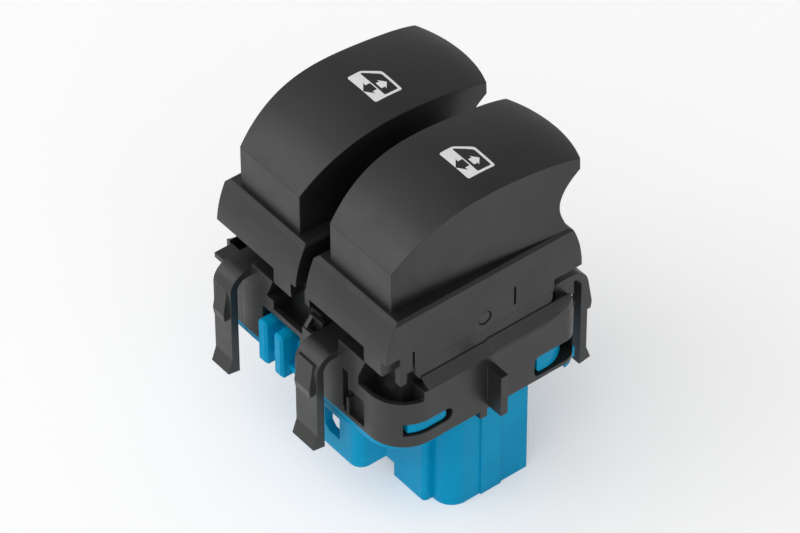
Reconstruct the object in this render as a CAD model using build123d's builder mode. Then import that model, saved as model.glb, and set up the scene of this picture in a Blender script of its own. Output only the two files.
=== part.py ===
from build123d import *
import os
from math import sqrt

# Twin rocker switch for power windows: two rockers on a snap-in housing, a blue
# base with the connector socket, and the contact mechanism between them.
# Frame: origin on the panel face in the middle of the aperture, +X from the left
# rocker to the right one, -Y the front edge that is pressed down, +Z up. Millimetres.

os.makedirs("parts", exist_ok=True)

# ---- rockers ----
rocker_pitch = 23.0          # distance between the two rocker centres
pivot_z = 12.6               # rocker axis above the panel
pivot_pin_d = 2.3
pivot_gap = 0.15             # radial play of the pins in the carrier ears
ear_radius = 3.1

# ---- carriers: the skirts under the caps ----
skirt_width = 20.5
skirt_wall = 1.3
skirt_radius = 19.75         # front and rear walls are arcs about the rocker axis
rim_rise = 8.9               # skirt rim above the rocker axis
skirt_depth = 7.6            # height of the front skirt wall below the rim
skirt_rear_depth = 8.9
skirt_side_depth = 11.2
carrier_deck = 1.5
rim_chamfer = 0.5
tab_reach = 3.1              # stop tab below the skirt edge
tab_x = (4.6, 9.0)           # stop tab, across the rocker
flap_y = (-17.0, -14.5)      # side flap with the prong, along the rocker
skirt_end = 5.65             # length of the front and rear ends with the higher walls
flap_reach = 4.0
flap_root = 2.0              # overlap of the flap with the wall above it
prong_reach = 6.0
prong_width = 1.3
slit_width = 0.4
slit_y = 6.05                # closed slit behind the pivot
slit_z = (12.0, 15.8)
slit_height = 2.7            # open slit between flap and skirt

# ---- caps ----
cap_length = 36.5            # front face to the corners of the rear lip
cap_front_y = -16.6
front_margin = 2.65          # skirt beside the front face of the cap
top_margin = 1.25            # and beside its top, behind the middle
base_margin = 0.05           # and beside the rear of its base
crease_rise = 7.9            # front crease above the rim
crown_rise = 7.6             # top of the side edge above the front crease
crown_at = 20.0              # distance from the front face to that top
rear_fall = 3.13             # fall of the side edge from there to the rear lip
crown_bow = 0.7              # rise of the top between its side edges
least_bow = 0.02
outer_stations = (0, 4, 10, 20, 30, 40)   # cross-sections behind the front face
inner_stations = (2, 7, 14, 20, 26, 32)
cap_wall = 1.8
ceiling_share = 1.05         # top wall of the cap over its side walls
lip_radius = 21.2            # plan radius of the rear lip
lip_centre_y = 0.65
lip_depth = 1.7
# finger hollow: (depth below the lip, distance in front of it, share of its plan bow)
hollow_stations = ((0, 0, 1), (2.5, 3.0, 0.8), (6.0, 4.2, 0.5), (8.4, 3.6, 0.3), (11.2, 2.7, 0.1))
peg_d = 2.4                  # pegs of the cap in the deck of the carrier
peg_x = 5.1
peg_y = 11.0
peg_gap = 0.1
peg_boss = 0.8               # bosses round the pegs inside the cap

# ---- housing frame ----
frame_x = 46.0
frame_y = 37.7
frame_corner = 6.8
frame_wall = 1.6
band_bottom = -6.0
ledge_z = 5.2
ledge_t = 1.3
tower_gap = 0.65             # rocker tower inside the walls of the skirt
tower_y = 30.0
tower_wall = 1.3
tower_corner = 1.0
tower_top = 13.0
tower_floor_z = 8.3
tower_floor_t = 1.3
pin_end_gap = 0.15           # pin end behind the skirt face
plunger_slot = (4.4, 1.6)    # play of the plunger in its slot, along and across the rocker
root = 0.4                   # depth to which pins and fins run into their walls

# ---- snap legs, two at the front and two at the rear, seen from their own side ----
front_leg_x = (-16.1, 5.75)
front_leg_width = (4.5, 5.5)
rear_leg_x = (-18.3, 5.75)
rear_leg_width = (2.2, 5.5)
leg_top = (8.4, 7.1)         # top of the arms, left and right
leg_out = 23.3               # outer face from the middle
leg_t = 1.4
leg_bottom = -12.0
leg_bend = 3.4
toe_flare = 0.9
toe_height = 2.6
toe_slant = 0.4
nose_proud = 0.9
nose_top = 5.6
nose_bottom = -1.0           # catch face of the noses, under the panel face
nose_inset = 0.85            # nose inside the width of the leg
nose_land = 1.4              # height of the upright face above the catch face
nose_rake = 0.2
wing_x = 2.6                 # wing beside the root of the left arm
wing_out = 21.0
wing_t = 1.0

# ---- mounts of the legs on the front wall ----
mount_left = (-21.3, -0.9)
mount_low = 4.8
mount_top = 9.4
mount_slant = 2.3
mount_depth = 2.6
mount_end = (-8.4, 15.2)     # right ends of the two mounts
gusset_t = 0.8
gusset_top = 7.0
gusset_y = (17.2, 16.4)      # upright edge behind the front lip
ridge_end = 2.3
pocket_lip = 0.8             # lip in front of the pocket between gusset and arm
lip_pocket_z = 4.1

# ---- windows, pockets and slots ----
pocket_x = 13.4              # corner pocket beside the front right leg
pocket_y = 13.1
pocket_rim = 3.3
pocket_floor = -0.3
pocket_floor_t = 0.8
pocket_wall = 1.0
pocket_lip_t = 0.8           # wall round the well
gap_floor_t = 0.8            # floor behind the bar
bar_t = 1.0
window_x = (-11.3, -1.6)     # front window with the ribs of the base
bar_z = (2.3, 3.4)
recess_x = (9.7, 14.9)       # blind recess beside the right leg
recess_z = (-5.1, 0.6)
recess_depth = 1.0
groove_x = (9.4, 11.0)       # dark groove beside the recess, with a pin standing in it
groove_z = (-4.3, 4.0)
groove_depth = 1.2
stud_x = (10.4, 10.95)
stud_z = (-5.8, -1.7)
slot_low = (-3.65, -5.2)     # catch slots: lower edge, upper edge and start
slot_high = (-1.1, -1.0)
slot_y = (7.5, 9.3)
slot_round = 1.1
slot_across = 4.7            # reach of the slots from the side face towards the middle
slot_length = 8.8
near = 0.01                  # tolerance for finding edges by their place
fin_x = 26.4
fin_y = (-0.4, 1.0)
fin_z = (-5.2, 3.2)
tongue_y = (-1.8, -0.4)
tongue_bottom = -7.6

# ---- base ----
flange_t = 1.2
flange_inset = 0.1
flange_side_inset = 1.1
base_gap = 0.2               # base walls inside the frame
base_wall = 1.2
base_wall_top = -4.2
catch_proud = 0.5            # catch face behind the outer face of the frame
catch_gap = 0.3              # catch below and above the slot edges
catch_play = 0.9             # catch within the ends of its slot
rib_x = (-11.0, -6.85)       # left faces of the two front ribs
rib_w = 2.2
rib_front = 20.3
rib_z = (-8.4, 0.4)
rib_chamfer = 0.45
screen_top = -1.5            # wall of the base behind the window
heel_x = (19.2, 20.8)        # heel at the rear right corner of the flange
heel_y = (14.5, 19.6)
heel_bottom = -10.4
cup_x = (3.2, 13.3)
cup_front = 18.8
cup_back = 13.2
cup_wall = 1.5
cup_bottom = -16.2
cup_radius = 2.2
cup_hole_x = (4.7, 8.4)
cup_hole_z = (-12.9, -8.3)
cup_hole_cut = 1.0
socket_a = (0.5, 17.5, -8.8, 8.8)
socket_b = (12.0, 21.6, -7.1, 9.2)
socket_round = (3.4, 1.0)    # right corners of the second shroud, front and rear
shroud_corner = 0.8
cavity_corner = 0.6
socket_bottom = -26.2
socket_step_x = 9.7
socket_step = 2.8
socket_cavity = (2.3, 19.8, -5.4, 7.2)
socket_roof = -9.2
socket_rib_y = (-0.6, 3.6)
socket_rib = 0.3             # key rib over the face of the shroud

# ---- circuit board and contacts ----
board_x = 39.2
board_y = 30.6
board_t = 1.6
board_z = -3.4               # underside of the board
board_corner = 2.5
pillar_d = 3.2
pillar_inset = 2.5           # from the edges of the board
blade_z = 1.0                # underside of the contact blade
blade_t = 0.5
blade_w = 3.6
blade_half = 7.6
blade_lift = 0.25            # ends of the blade over its middle
blade_bend = (2.2, 3.0)      # bend, from the ends of the blade
rivet_d = 1.6
rivet_h = 0.35
post_gap = 0.1
post_half = 1.5              # half the length of the post, along the rocker
post_shoulder = 1.2
post_knife = 0.15
post_foot = 0.6
post_cheek = (0.2, 0.8)      # cheek plates, from the side of the blade
post_cheek_rise = 1.4        # cheek plates over the underside of the blade
contact_inset = 1.0          # contacts from the ends of the blade
contact_drop = 1.05          # fixed contact below the blade
contact_foot = (2.8, 2.4, 0.5)
contact_d = 2.0
plunger_d = 4.2
plunger_gap = 0.2
plunger_tip = 1.8
plunger_neck = 4.6           # top of the slender tip
plunger_cone = 2.2
plunger_top = 14.4
spring_seat = 1.2            # depth of the spring's seat in the plunger
tube_d = 6.4
tube_bottom = 10.6
spring_wire = 0.5
spring_d = 2.6
spring_turns = 3
guide_y = 3.6
guide_x = 5.0
guide_l = 5.6
guide_bottom = 15.2
guide_gap = 0.15             # light guide in its shaft
guide_draft = 0.8            # the guide narrows by this on each side towards the lamp
guide_flange = 0.8
lamp_gap = 0.7               # lamp behind the fixed contact
lamp_chip = (3.2, 1.8, 0.6)
lamp_lens_d = 1.5
lamp_lens_h = 0.5
lamp_lens_taper = 15
resistor_at = (6.0, -6.0)    # from the middle of the rocker
resistor_chip = (3.2, 1.6, 0.6)
light_hole = 3.0
pin_w = 0.64
pin_hole = 0.74
pin_tip = 1.0
pin_tip_taper = 12
pin_head = 1.0               # pin above the board
pin_rows = (-3.4, 4.7)
pin_pitch = 4.4
pin_first = 4.6
pin_count = 4
pin_end = -21.0

rim_z = pivot_z + rim_rise
tower_x = skirt_width - 2 * skirt_wall - 2 * tower_gap
skirt_bottom = rim_z - skirt_depth
side_bottom = rim_z - skirt_side_depth
cap_front_half = skirt_width / 2 - front_margin
cap_top_half = skirt_width / 2 - top_margin
cap_base_half = skirt_width / 2 - base_margin
contact_y = blade_half - contact_inset
lamp_y = contact_y + (contact_foot[1] + lamp_chip[1]) / 2 + lamp_gap
inner_x = frame_x - 2 * frame_wall
inner_y = frame_y - 2 * frame_wall
inner_corner = frame_corner - frame_wall
crease_z = rim_z + crease_rise
board_top = board_z + board_t
base_floor = band_bottom - flange_t
rocker_centres = (("left", -rocker_pitch / 2), ("right", rocker_pitch / 2))
tower_places = [(x, 0) for _, x in rocker_centres]


def edge_height(s):
    """Height of the cap's top side edge, s mm behind the front face."""
    if s < crown_at:
        return crease_z + crown_rise * (1 - ((crown_at - s) / crown_at) ** 3)
    return crease_z + crown_rise - rear_fall * ((s - crown_at) / (cap_length - crown_at)) ** 2


def top_half(s):
    """Half width of the cap's top, s mm behind the front face."""
    if s < crown_at:
        return cap_top_half - (cap_top_half - cap_front_half) * ((crown_at - s) / crown_at) ** 3
    return cap_top_half


def base_half(s):
    """Half width of the cap's base, which flares to the rear."""
    return cap_front_half + (cap_base_half - cap_front_half) * (s / cap_length) ** 1.2


def bow(s):
    """Rise of the top between its side edges: none at the front crease."""
    return crown_bow * min(1.0, s / crown_at) + least_bow


# ---------------------------------------------------------------- housing frame
with BuildPart() as housing_frame:
    # outer band, closed by the ledge and open below
    with BuildSketch(Plane.XY.offset(band_bottom)):
        RectangleRounded(frame_x, frame_y, frame_corner)
    extrude(amount=ledge_z - band_bottom)
    with BuildSketch(Plane.XY.offset(band_bottom)):
        RectangleRounded(inner_x, inner_y, inner_corner)
    extrude(amount=ledge_z - ledge_t - band_bottom, mode=Mode.SUBTRACT)

    # rocker towers
    with BuildSketch(Plane.XY.offset(ledge_z - ledge_t)):
        with Locations(*tower_places):
            RectangleRounded(tower_x, tower_y, tower_corner)
    extrude(amount=tower_top - ledge_z + ledge_t)
    with BuildSketch(Plane.XY.offset(ledge_z - ledge_t)):
        with Locations(*tower_places):
            Rectangle(tower_x - 2 * tower_wall, tower_y - 2 * tower_wall)
    extrude(amount=tower_floor_z - ledge_z + ledge_t, mode=Mode.SUBTRACT)
    with BuildSketch(Plane.XY.offset(tower_floor_z + tower_floor_t)):
        with Locations(*tower_places):
            Rectangle(tower_x - 2 * tower_wall, tower_y - 2 * tower_wall)
    extrude(amount=tower_top - tower_floor_z - tower_floor_t, mode=Mode.SUBTRACT)
    # plunger slots and light holes in the tower floors
    with BuildSketch(Plane.XY.offset(tower_floor_z)):
        with Locations(*tower_places):
            SlotOverall(plunger_d + plunger_slot[0], plunger_d + plunger_slot[1], rotation=90)
    extrude(amount=tower_floor_t, mode=Mode.SUBTRACT)
    with BuildSketch(Plane.XY.offset(tower_floor_z)):
        with Locations(*[(x, lamp_y) for _, x in rocker_centres]):
            Rectangle(guide_x, light_hole)
    extrude(amount=tower_floor_t, mode=Mode.SUBTRACT)

    # pivot ears and pins on both sides of each tower
    for _, x in rocker_centres:
        for side in (-1, 1):
            ear_outer = x + side * tower_x / 2
            pin_outer = x + side * (skirt_width / 2 - pin_end_gap)
            with BuildSketch(Plane.YZ.offset(ear_outer)):
                with Locations((0, pivot_z)):
                    Circle(ear_radius)
            extrude(amount=-side * tower_wall)
            with BuildSketch(Plane.YZ.offset(ear_outer - side * root)):
                with Locations((0, pivot_z)):
                    Circle(pivot_pin_d / 2)
            extrude(amount=pin_outer - ear_outer + side * root)

    # corner pockets, point-symmetric: a block for floor and walls, the well, the low rim
    for turn in (1, -1):
        corner = (turn * frame_x / 2, -turn * frame_y / 2)
        well_x = frame_x - 2 * pocket_x
        well_y = frame_y - 2 * pocket_y
        with BuildSketch(Plane.XY.offset(pocket_floor - pocket_floor_t)):
            RectangleRounded(inner_x, inner_y, inner_corner)
            with Locations(corner):
                Rectangle(well_x + 2 * pocket_wall, well_y + 2 * pocket_wall, mode=Mode.INTERSECT)
        extrude(amount=ledge_z - pocket_floor + pocket_floor_t)
        with BuildSketch(Plane.XY.offset(pocket_floor)):
            RectangleRounded(
                frame_x - 2 * pocket_lip_t, frame_y - 2 * pocket_lip_t, frame_corner - pocket_lip_t
            )
            with Locations(corner):
                Rectangle(well_x, well_y, mode=Mode.INTERSECT)
            with Locations(*tower_places):
                Rectangle(tower_x, tower_y, mode=Mode.SUBTRACT)
        extrude(amount=ledge_z - pocket_floor, mode=Mode.SUBTRACT)
        with BuildSketch(Plane.XY.offset(pocket_rim)):
            with Locations(corner):
                Rectangle(well_x, well_y)
            with Locations(*tower_places):
                Rectangle(tower_x, tower_y, mode=Mode.SUBTRACT)
        extrude(amount=ledge_z - pocket_rim, mode=Mode.SUBTRACT)

    # front and rear walls: mounts of the legs, window, bar and recess
    for turn, leg_x, leg_width in ((1, front_leg_x, front_leg_width), (-1, rear_leg_x, rear_leg_width)):
        face = Plane(origin=(0, -turn * frame_y / 2, 0), x_dir=(turn, 0, 0), z_dir=(0, -turn, 0))
        for left, leg, width, top, end in zip(mount_left, leg_x, leg_width, leg_top, mount_end):
            with BuildSketch(face):
                with BuildLine():
                    Polyline(
                        (left, ledge_z - ledge_t),
                        (left, mount_low),
                        (leg - width / 2, mount_low),
                        (leg - width / 2, top - leg_t),
                        (leg + width / 2, top - leg_t),
                        (leg + width / 2, mount_top),
                        (end, mount_top),
                        (end - mount_slant, ledge_z - ledge_t),
                        close=True,
                    )
                make_face()
            extrude(amount=-mount_depth)
        # gusset at the left end of the right mount, with a ridge that runs to the arm
        foot = frame_y / 2
        with BuildSketch(Plane.YZ.offset(turn * mount_left[1])):
            with BuildLine():
                Polyline(
                    (-turn * foot, ledge_z - ledge_t),
                    (-turn * foot, mount_low),
                    (-turn * gusset_y[0], gusset_top),
                    (-turn * gusset_y[1], gusset_top),
                    (-turn * tower_y / 2, mount_low),
                    (-turn * tower_y / 2, ledge_z - ledge_t),
                    close=True,
                )
            make_face()
        extrude(amount=turn * gusset_t)
        ridge_mid = (mount_left[1] + ridge_end) / 2
        with BuildSketch(Plane.XY.offset(ledge_z - ledge_t)):
            with Locations((turn * ridge_mid, -turn * (gusset_y[0] + gusset_y[1]) / 2)):
                Rectangle(ridge_end - mount_left[1], gusset_y[0] - gusset_y[1])
        extrude(amount=gusset_top - ledge_z + ledge_t)
        # pocket between the front lip and the ridge
        pocket_ends = (mount_left[1] + gusset_t, leg_x[1] - leg_width[1] / 2)
        pocket_back = foot - pocket_lip - gusset_y[0]
        with BuildSketch(Plane.XY.offset(lip_pocket_z)):
            with Locations((turn * sum(pocket_ends) / 2, -turn * (foot - pocket_lip - pocket_back / 2))):
                Rectangle(pocket_ends[1] - pocket_ends[0], pocket_back)
        extrude(amount=ledge_z - lip_pocket_z, mode=Mode.SUBTRACT)

        # gap between the mounts: a block for its floor and walls, the gap, the bar in front
        gap_x = (mount_end[0], mount_left[1])
        gap_mid = (gap_x[0] + gap_x[1]) / 2
        gap_depth = (frame_y - tower_y) / 2
        gap_under = rib_z[1] + base_gap
        gap_floor = gap_under + gap_floor_t
        with BuildSketch(face):
            with Locations((gap_mid, (gap_under + ledge_z) / 2)):
                Rectangle(gap_x[1] - gap_x[0] + 2 * pocket_wall, ledge_z - gap_under)
        extrude(amount=-gap_depth - pocket_wall)
        with BuildSketch(face):
            with Locations((gap_mid, (bar_z[1] + ledge_z) / 2)):
                Rectangle(gap_x[1] - gap_x[0], ledge_z - bar_z[1])
        extrude(amount=-gap_depth, mode=Mode.SUBTRACT)
        with BuildSketch(face.offset(-bar_t)):
            with Locations((gap_mid, (gap_floor + ledge_z) / 2)):
                Rectangle(gap_x[1] - gap_x[0], ledge_z - gap_floor)
        extrude(amount=bar_t - gap_depth, mode=Mode.SUBTRACT)
        # window below the bar, open at the bottom edge
        with BuildSketch(face):
            with Locations(((window_x[0] + window_x[1]) / 2, (bar_z[0] + band_bottom) / 2)):
                Rectangle(window_x[1] - window_x[0], bar_z[0] - band_bottom)
        extrude(amount=-frame_wall, mode=Mode.SUBTRACT)
        # recess and groove right of the leg, and the stud that stands in them
        for (x0, x1), (z0, z1), depth, mode in (
            (recess_x, recess_z, recess_depth, Mode.SUBTRACT),
            (groove_x, groove_z, groove_depth, Mode.SUBTRACT),
            (stud_x, stud_z, groove_depth, Mode.ADD),
        ):
            with BuildSketch(face):
                with Locations(((x0 + x1) / 2, (z0 + z1) / 2)):
                    Rectangle(x1 - x0, z1 - z0)
            extrude(amount=-depth, mode=mode)

    # snap legs: arm from the tower over the wall, bend, leg, flared toe
    for turn, leg_x, leg_width in ((1, front_leg_x, front_leg_width), (-1, rear_leg_x, rear_leg_width)):
        for leg, width, top in zip(leg_x, leg_width, leg_top):
            start = turn * leg - width / 2
            with BuildSketch(Plane.YZ.offset(start)):
                with BuildLine():
                    y0 = tower_y / 2 - tower_wall / 2
                    yo, yi = leg_out, leg_out - leg_t
                    Line((y0, top), (yo - leg_bend, top))
                    RadiusArc((yo - leg_bend, top), (yo, top - leg_bend), leg_bend)
                    Polyline(
                        (yo, top - leg_bend),
                        (yo, leg_bottom + toe_height),
                        (yo + toe_flare, leg_bottom),
                        (yi, leg_bottom - toe_slant),
                        (yi, top - leg_bend),
                    )
                    inner_bend = leg_bend - leg_t
                    RadiusArc((yi, top - leg_bend), (yi - inner_bend, top - leg_t), -inner_bend)
                    Polyline((yi - inner_bend, top - leg_t), (y0, top - leg_t), (y0, top))
                make_face()
                if turn > 0:
                    mirror(about=Plane.YZ, mode=Mode.REPLACE)
            extrude(amount=width)
            # snap nose: a ramp down to the catch face, narrower than the leg
            nose_width = width - 2 * nose_inset if width > 4 * nose_inset else width
            with BuildSketch(Plane.YZ.offset(start + (width - nose_width) / 2)):
                with BuildLine():
                    Polyline(
                        (leg_out - leg_t / 2, nose_top),
                        (leg_out, nose_top),
                        (leg_out + nose_proud, nose_bottom + nose_land),
                        (leg_out + nose_proud - nose_rake, nose_bottom),
                        (leg_out - leg_t / 2, nose_bottom),
                        close=True,
                    )
                make_face()
                if turn > 0:
                    mirror(about=Plane.YZ, mode=Mode.REPLACE)
            extrude(amount=nose_width)
    # wing beside the root of the left front arm
    wing_end = front_leg_x[0] - front_leg_width[0] / 2
    with BuildSketch(Plane.XY.offset(leg_top[0] - leg_t)):
        with Locations((wing_end - wing_x / 2, -(wing_out + foot - mount_depth / 2) / 2)):
            Rectangle(wing_x, wing_out - foot + mount_depth / 2)
    extrude(amount=wing_t)

    # guide fins and tongues in the middle of both sides
    for turn in (1, -1):
        with BuildSketch(Plane.XY.offset(fin_z[0])):
            with Locations((turn * (frame_x / 2 + fin_x - root) / 2, turn * (fin_y[0] + fin_y[1]) / 2)):
                Rectangle(fin_x - frame_x / 2 + root, fin_y[1] - fin_y[0])
        extrude(amount=fin_z[1] - fin_z[0])
        with BuildSketch(Plane.XY.offset(tongue_bottom)):
            tongue_mid = (tongue_y[0] + tongue_y[1]) / 2
            with Locations((turn * (frame_x - frame_wall) / 2, turn * tongue_mid)):
                Rectangle(frame_wall, tongue_y[1] - tongue_y[0])
        extrude(amount=fin_z[1] - tongue_bottom)

    # slots for the catches of the base, round all four corners, with rounded side ends
    for sx in (-1, 1):
        for sy in (-1, 1):
            kind = 0 if sx * sy < 0 else 1
            with BuildSketch(Plane.XY.offset(slot_low[kind])):
                with Locations((sx * (frame_x - slot_across) / 2, sy * (slot_y[kind] + slot_length / 2))):
                    Rectangle(slot_across, slot_length)
            extrude(amount=slot_high[kind] - slot_low[kind], mode=Mode.SUBTRACT)
    slot_ends = [
        edge
        for edge in housing_frame.edges().filter_by(Axis.X)
        if abs(edge.center().X) > inner_x / 2
        and any(
            abs(abs(edge.center().Y) - start) < near
            and min(abs(edge.center().Z - low), abs(edge.center().Z - high)) < near
            for low, high, start in zip(slot_low, slot_high, slot_y)
        )
    ]
    fillet(slot_ends, slot_round)

housing_frame.part.label = "housing_frame"
export_step(housing_frame.part, "parts/housing_frame.step")

# ---------------------------------------------------------------- blue base
with BuildPart() as connector_base:
    # floor and flange under the frame
    with BuildSketch(Plane.XY.offset(base_floor)):
        RectangleRounded(
            frame_x - 2 * flange_side_inset, frame_y - 2 * flange_inset, frame_corner - flange_inset
        )
    extrude(amount=flange_t)
    # low locating wall inside the frame
    wall_x = inner_x - 2 * base_gap
    wall_y = inner_y - 2 * base_gap
    wall_corner = inner_corner - base_gap
    with BuildSketch(Plane.XY.offset(band_bottom)):
        RectangleRounded(wall_x, wall_y, wall_corner)
        RectangleRounded(
            wall_x - 2 * base_wall, wall_y - 2 * base_wall, wall_corner - base_wall, mode=Mode.SUBTRACT
        )
    extrude(amount=base_wall_top - band_bottom)
    # catches in the four corner slots of the frame: post inside, nose with rounded ends outside
    for sx in (-1, 1):
        for sy in (-1, 1):
            kind = 0 if sx * sy < 0 else 1
            start = slot_y[kind] + catch_play
            reach = slot_length - 2 * catch_play
            with BuildSketch(Plane.XY.offset(band_bottom)):
                RectangleRounded(wall_x, wall_y, wall_corner)
                RectangleRounded(
                    wall_x - 2 * base_wall, wall_y - 2 * base_wall, wall_corner - base_wall,
                    mode=Mode.SUBTRACT,
                )
                with Locations((sx * (frame_x - slot_across + catch_play) / 2, sy * (start + reach / 2))):
                    Rectangle(slot_across - catch_play, reach, mode=Mode.INTERSECT)
            extrude(amount=slot_high[kind] - catch_gap - band_bottom)
            with BuildSketch(Plane.XY.offset(slot_low[kind] + catch_gap)):
                RectangleRounded(
                    frame_x - 2 * catch_proud, frame_y - 2 * catch_proud, frame_corner - catch_proud
                )
                RectangleRounded(
                    wall_x - base_wall, wall_y - base_wall, wall_corner - base_wall / 2,
                    mode=Mode.SUBTRACT,
                )
                with Locations((sx * (frame_x - slot_across + catch_play) / 2, sy * (start + reach / 2))):
                    Rectangle(slot_across - catch_play, reach, mode=Mode.INTERSECT)
            extrude(amount=slot_high[kind] - slot_low[kind] - 2 * catch_gap)
    nose_ends = [
        edge
        for edge in connector_base.edges().filter_by(Axis.X)
        if any(
            abs(abs(edge.center().Y) - start - catch_play) < near
            and min(abs(edge.center().Z - low - catch_gap), abs(edge.center().Z - high + catch_gap)) < near
            for low, high, start in zip(slot_low, slot_high, slot_y)
        )
    ]
    fillet(nose_ends, slot_round - catch_gap)

    # two ribs standing in the front window with a screen behind them, and again at the rear
    for turn in (1, -1):
        with BuildSketch(Plane.XY.offset(band_bottom)):
            with Locations((turn * (window_x[0] + window_x[1]) / 2, -turn * (wall_y - base_wall) / 2)):
                Rectangle(window_x[1] - window_x[0] + 2 * pocket_wall, base_wall)
        extrude(amount=screen_top - band_bottom)
        for left in rib_x:
            rib_back = wall_y / 2 - base_wall
            with BuildSketch(Plane.XY.offset(rib_z[0])):
                with Locations((turn * (left + rib_w / 2), -turn * (rib_front + rib_back) / 2)):
                    Rectangle(rib_w, rib_front - rib_back)
            extrude(amount=rib_z[1] - rib_z[0])
    rib_edges = [
        edge
        for edge in connector_base.edges()
        if abs(edge.center().Z - rib_z[1]) < near or abs(abs(edge.center().Y) - rib_front) < near
    ]
    chamfer(rib_edges, rib_chamfer)

    # heel under the rear right corner
    with BuildSketch(Plane.XY.offset(heel_bottom)):
        with Locations((sum(heel_x) / 2, sum(heel_y) / 2)):
            Rectangle(heel_x[1] - heel_x[0], heel_y[1] - heel_y[0])
    extrude(amount=band_bottom - heel_bottom)

    # looped cup below the flange
    with BuildSketch(Plane.XY.offset(cup_bottom)):
        with BuildLine():
            Polyline(
                (cup_x[0], -cup_front),
                (cup_x[1] - cup_radius, -cup_front),
            )
            RadiusArc(
                (cup_x[1] - cup_radius, -cup_front), (cup_x[1], -cup_front + cup_radius), -cup_radius
            )
            Polyline(
                (cup_x[1], -cup_front + cup_radius),
                (cup_x[1], -cup_back),
                (cup_x[1] - cup_wall, -cup_back),
                (cup_x[1] - cup_wall, -cup_front + cup_radius),
            )
            inner_radius = cup_radius - cup_wall
            RadiusArc(
                (cup_x[1] - cup_wall, -cup_front + cup_radius),
                (cup_x[1] - cup_radius, -cup_front + cup_wall),
                inner_radius,
            )
            Polyline(
                (cup_x[1] - cup_radius, -cup_front + cup_wall),
                (cup_x[0], -cup_front + cup_wall),
                (cup_x[0], -cup_front),
            )
        make_face()
    extrude(amount=base_floor - cup_bottom)
    with BuildSketch(Plane.XZ.offset(cup_front)):
        with BuildLine():
            Polyline(
                (cup_hole_x[0], cup_hole_z[0] + cup_hole_cut),
                (cup_hole_x[0] + cup_hole_cut, cup_hole_z[0]),
                (cup_hole_x[1], cup_hole_z[0]),
                (cup_hole_x[1], cup_hole_z[1]),
                (cup_hole_x[0], cup_hole_z[1]),
                close=True,
            )
        make_face()
    extrude(amount=-cup_wall, mode=Mode.SUBTRACT)

    # connector socket: two overlapping shrouds, a key rib, and the cavity
    with BuildSketch(Plane.XY.offset(socket_bottom)):
        ax0, ax1, ay0, ay1 = socket_a
        with Locations(((ax0 + ax1) / 2, (ay0 + ay1) / 2)):
            RectangleRounded(ax1 - ax0, ay1 - ay0, shroud_corner)
    extrude(amount=base_floor - socket_bottom)
    with BuildSketch(Plane.XY.offset(socket_bottom)) as shroud_b:
        bx0, bx1, by0, by1 = socket_b
        with Locations(((bx0 + bx1) / 2, (by0 + by1) / 2)):
            Rectangle(bx1 - bx0, by1 - by0)
        for corner, radius in zip(shroud_b.vertices().sort_by(Axis.X)[-2:].sort_by(Axis.Y), socket_round):
            fillet(corner, radius)
        with Locations((bx1, (socket_rib_y[0] + socket_rib_y[1]) / 2)):
            Rectangle(2 * socket_rib, socket_rib_y[1] - socket_rib_y[0])
    extrude(amount=base_floor - socket_bottom)
    with BuildSketch(Plane.XZ.offset(-ay1)):
        with Locations(((ax0 + socket_step_x) / 2, socket_bottom + socket_step / 2)):
            Rectangle(socket_step_x - ax0, socket_step)
    extrude(amount=ay1 - ay0, mode=Mode.SUBTRACT)
    with BuildSketch(Plane.XY.offset(socket_bottom)):
        cx0, cx1, cy0, cy1 = socket_cavity
        with Locations(((cx0 + cx1) / 2, (cy0 + cy1) / 2)):
            RectangleRounded(cx1 - cx0, cy1 - cy0, cavity_corner)
    extrude(amount=socket_roof - socket_bottom, mode=Mode.SUBTRACT)

    # notches for the tongues of the frame
    with BuildSketch(Plane.XY.offset(tongue_bottom - base_gap)):
        tongue_mid = (tongue_y[0] + tongue_y[1]) / 2
        with Locations((frame_x / 2, tongue_mid), (-frame_x / 2, -tongue_mid)):
            Rectangle(2 * frame_wall + 2 * base_gap, tongue_y[1] - tongue_y[0] + 2 * base_gap)
    extrude(amount=band_bottom - tongue_bottom + base_gap, mode=Mode.SUBTRACT)

    # pillars under the circuit board
    with BuildSketch(Plane.XY.offset(band_bottom)):
        with GridLocations(board_x - 2 * pillar_inset, board_y - 2 * pillar_inset, 2, 2):
            Circle(pillar_d / 2)
    extrude(amount=board_z - band_bottom)
    # pin holes through the socket roof
    with BuildSketch(Plane.XY.offset(socket_roof)):
        for row in pin_rows:
            with Locations(*[(pin_first + pin_pitch * i, row) for i in range(pin_count)]):
                Rectangle(pin_hole, pin_hole)
    extrude(amount=band_bottom - socket_roof, mode=Mode.SUBTRACT)

connector_base.part.label = "connector_base"
export_step(connector_base.part, "parts/connector_base.step")

# ---------------------------------------------------------------- circuit board
with BuildPart() as circuit_board:
    with BuildSketch(Plane.XY.offset(board_z)):
        RectangleRounded(board_x, board_y, board_corner)
        for row in pin_rows:
            with Locations(*[(pin_first + pin_pitch * i, row) for i in range(pin_count)]):
                Rectangle(pin_hole, pin_hole, mode=Mode.SUBTRACT)
    extrude(amount=board_t)

circuit_board.part.label = "circuit_board"
export_step(circuit_board.part, "parts/circuit_board.step")

# ---------------------------------------------------------------- terminal pins
for number in range(2 * pin_count):
    row = pin_rows[number // pin_count]
    column = pin_first + pin_pitch * (number % pin_count)
    with BuildPart() as terminal:
        with BuildSketch(Plane.XY.offset(pin_end + pin_tip)):
            with Locations((column, row)):
                Rectangle(pin_w, pin_w)
        extrude(amount=board_top + pin_head - pin_end - pin_tip)
        with BuildSketch(Plane.XY.offset(pin_end + pin_tip)):
            with Locations((column, row)):
                Rectangle(pin_w, pin_w)
        extrude(amount=-pin_tip, taper=pin_tip_taper)
    name = f"terminal_pin_{number + 1}"
    terminal.part.label = name
    export_step(terminal.part, f"parts/{name}.step")

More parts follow.
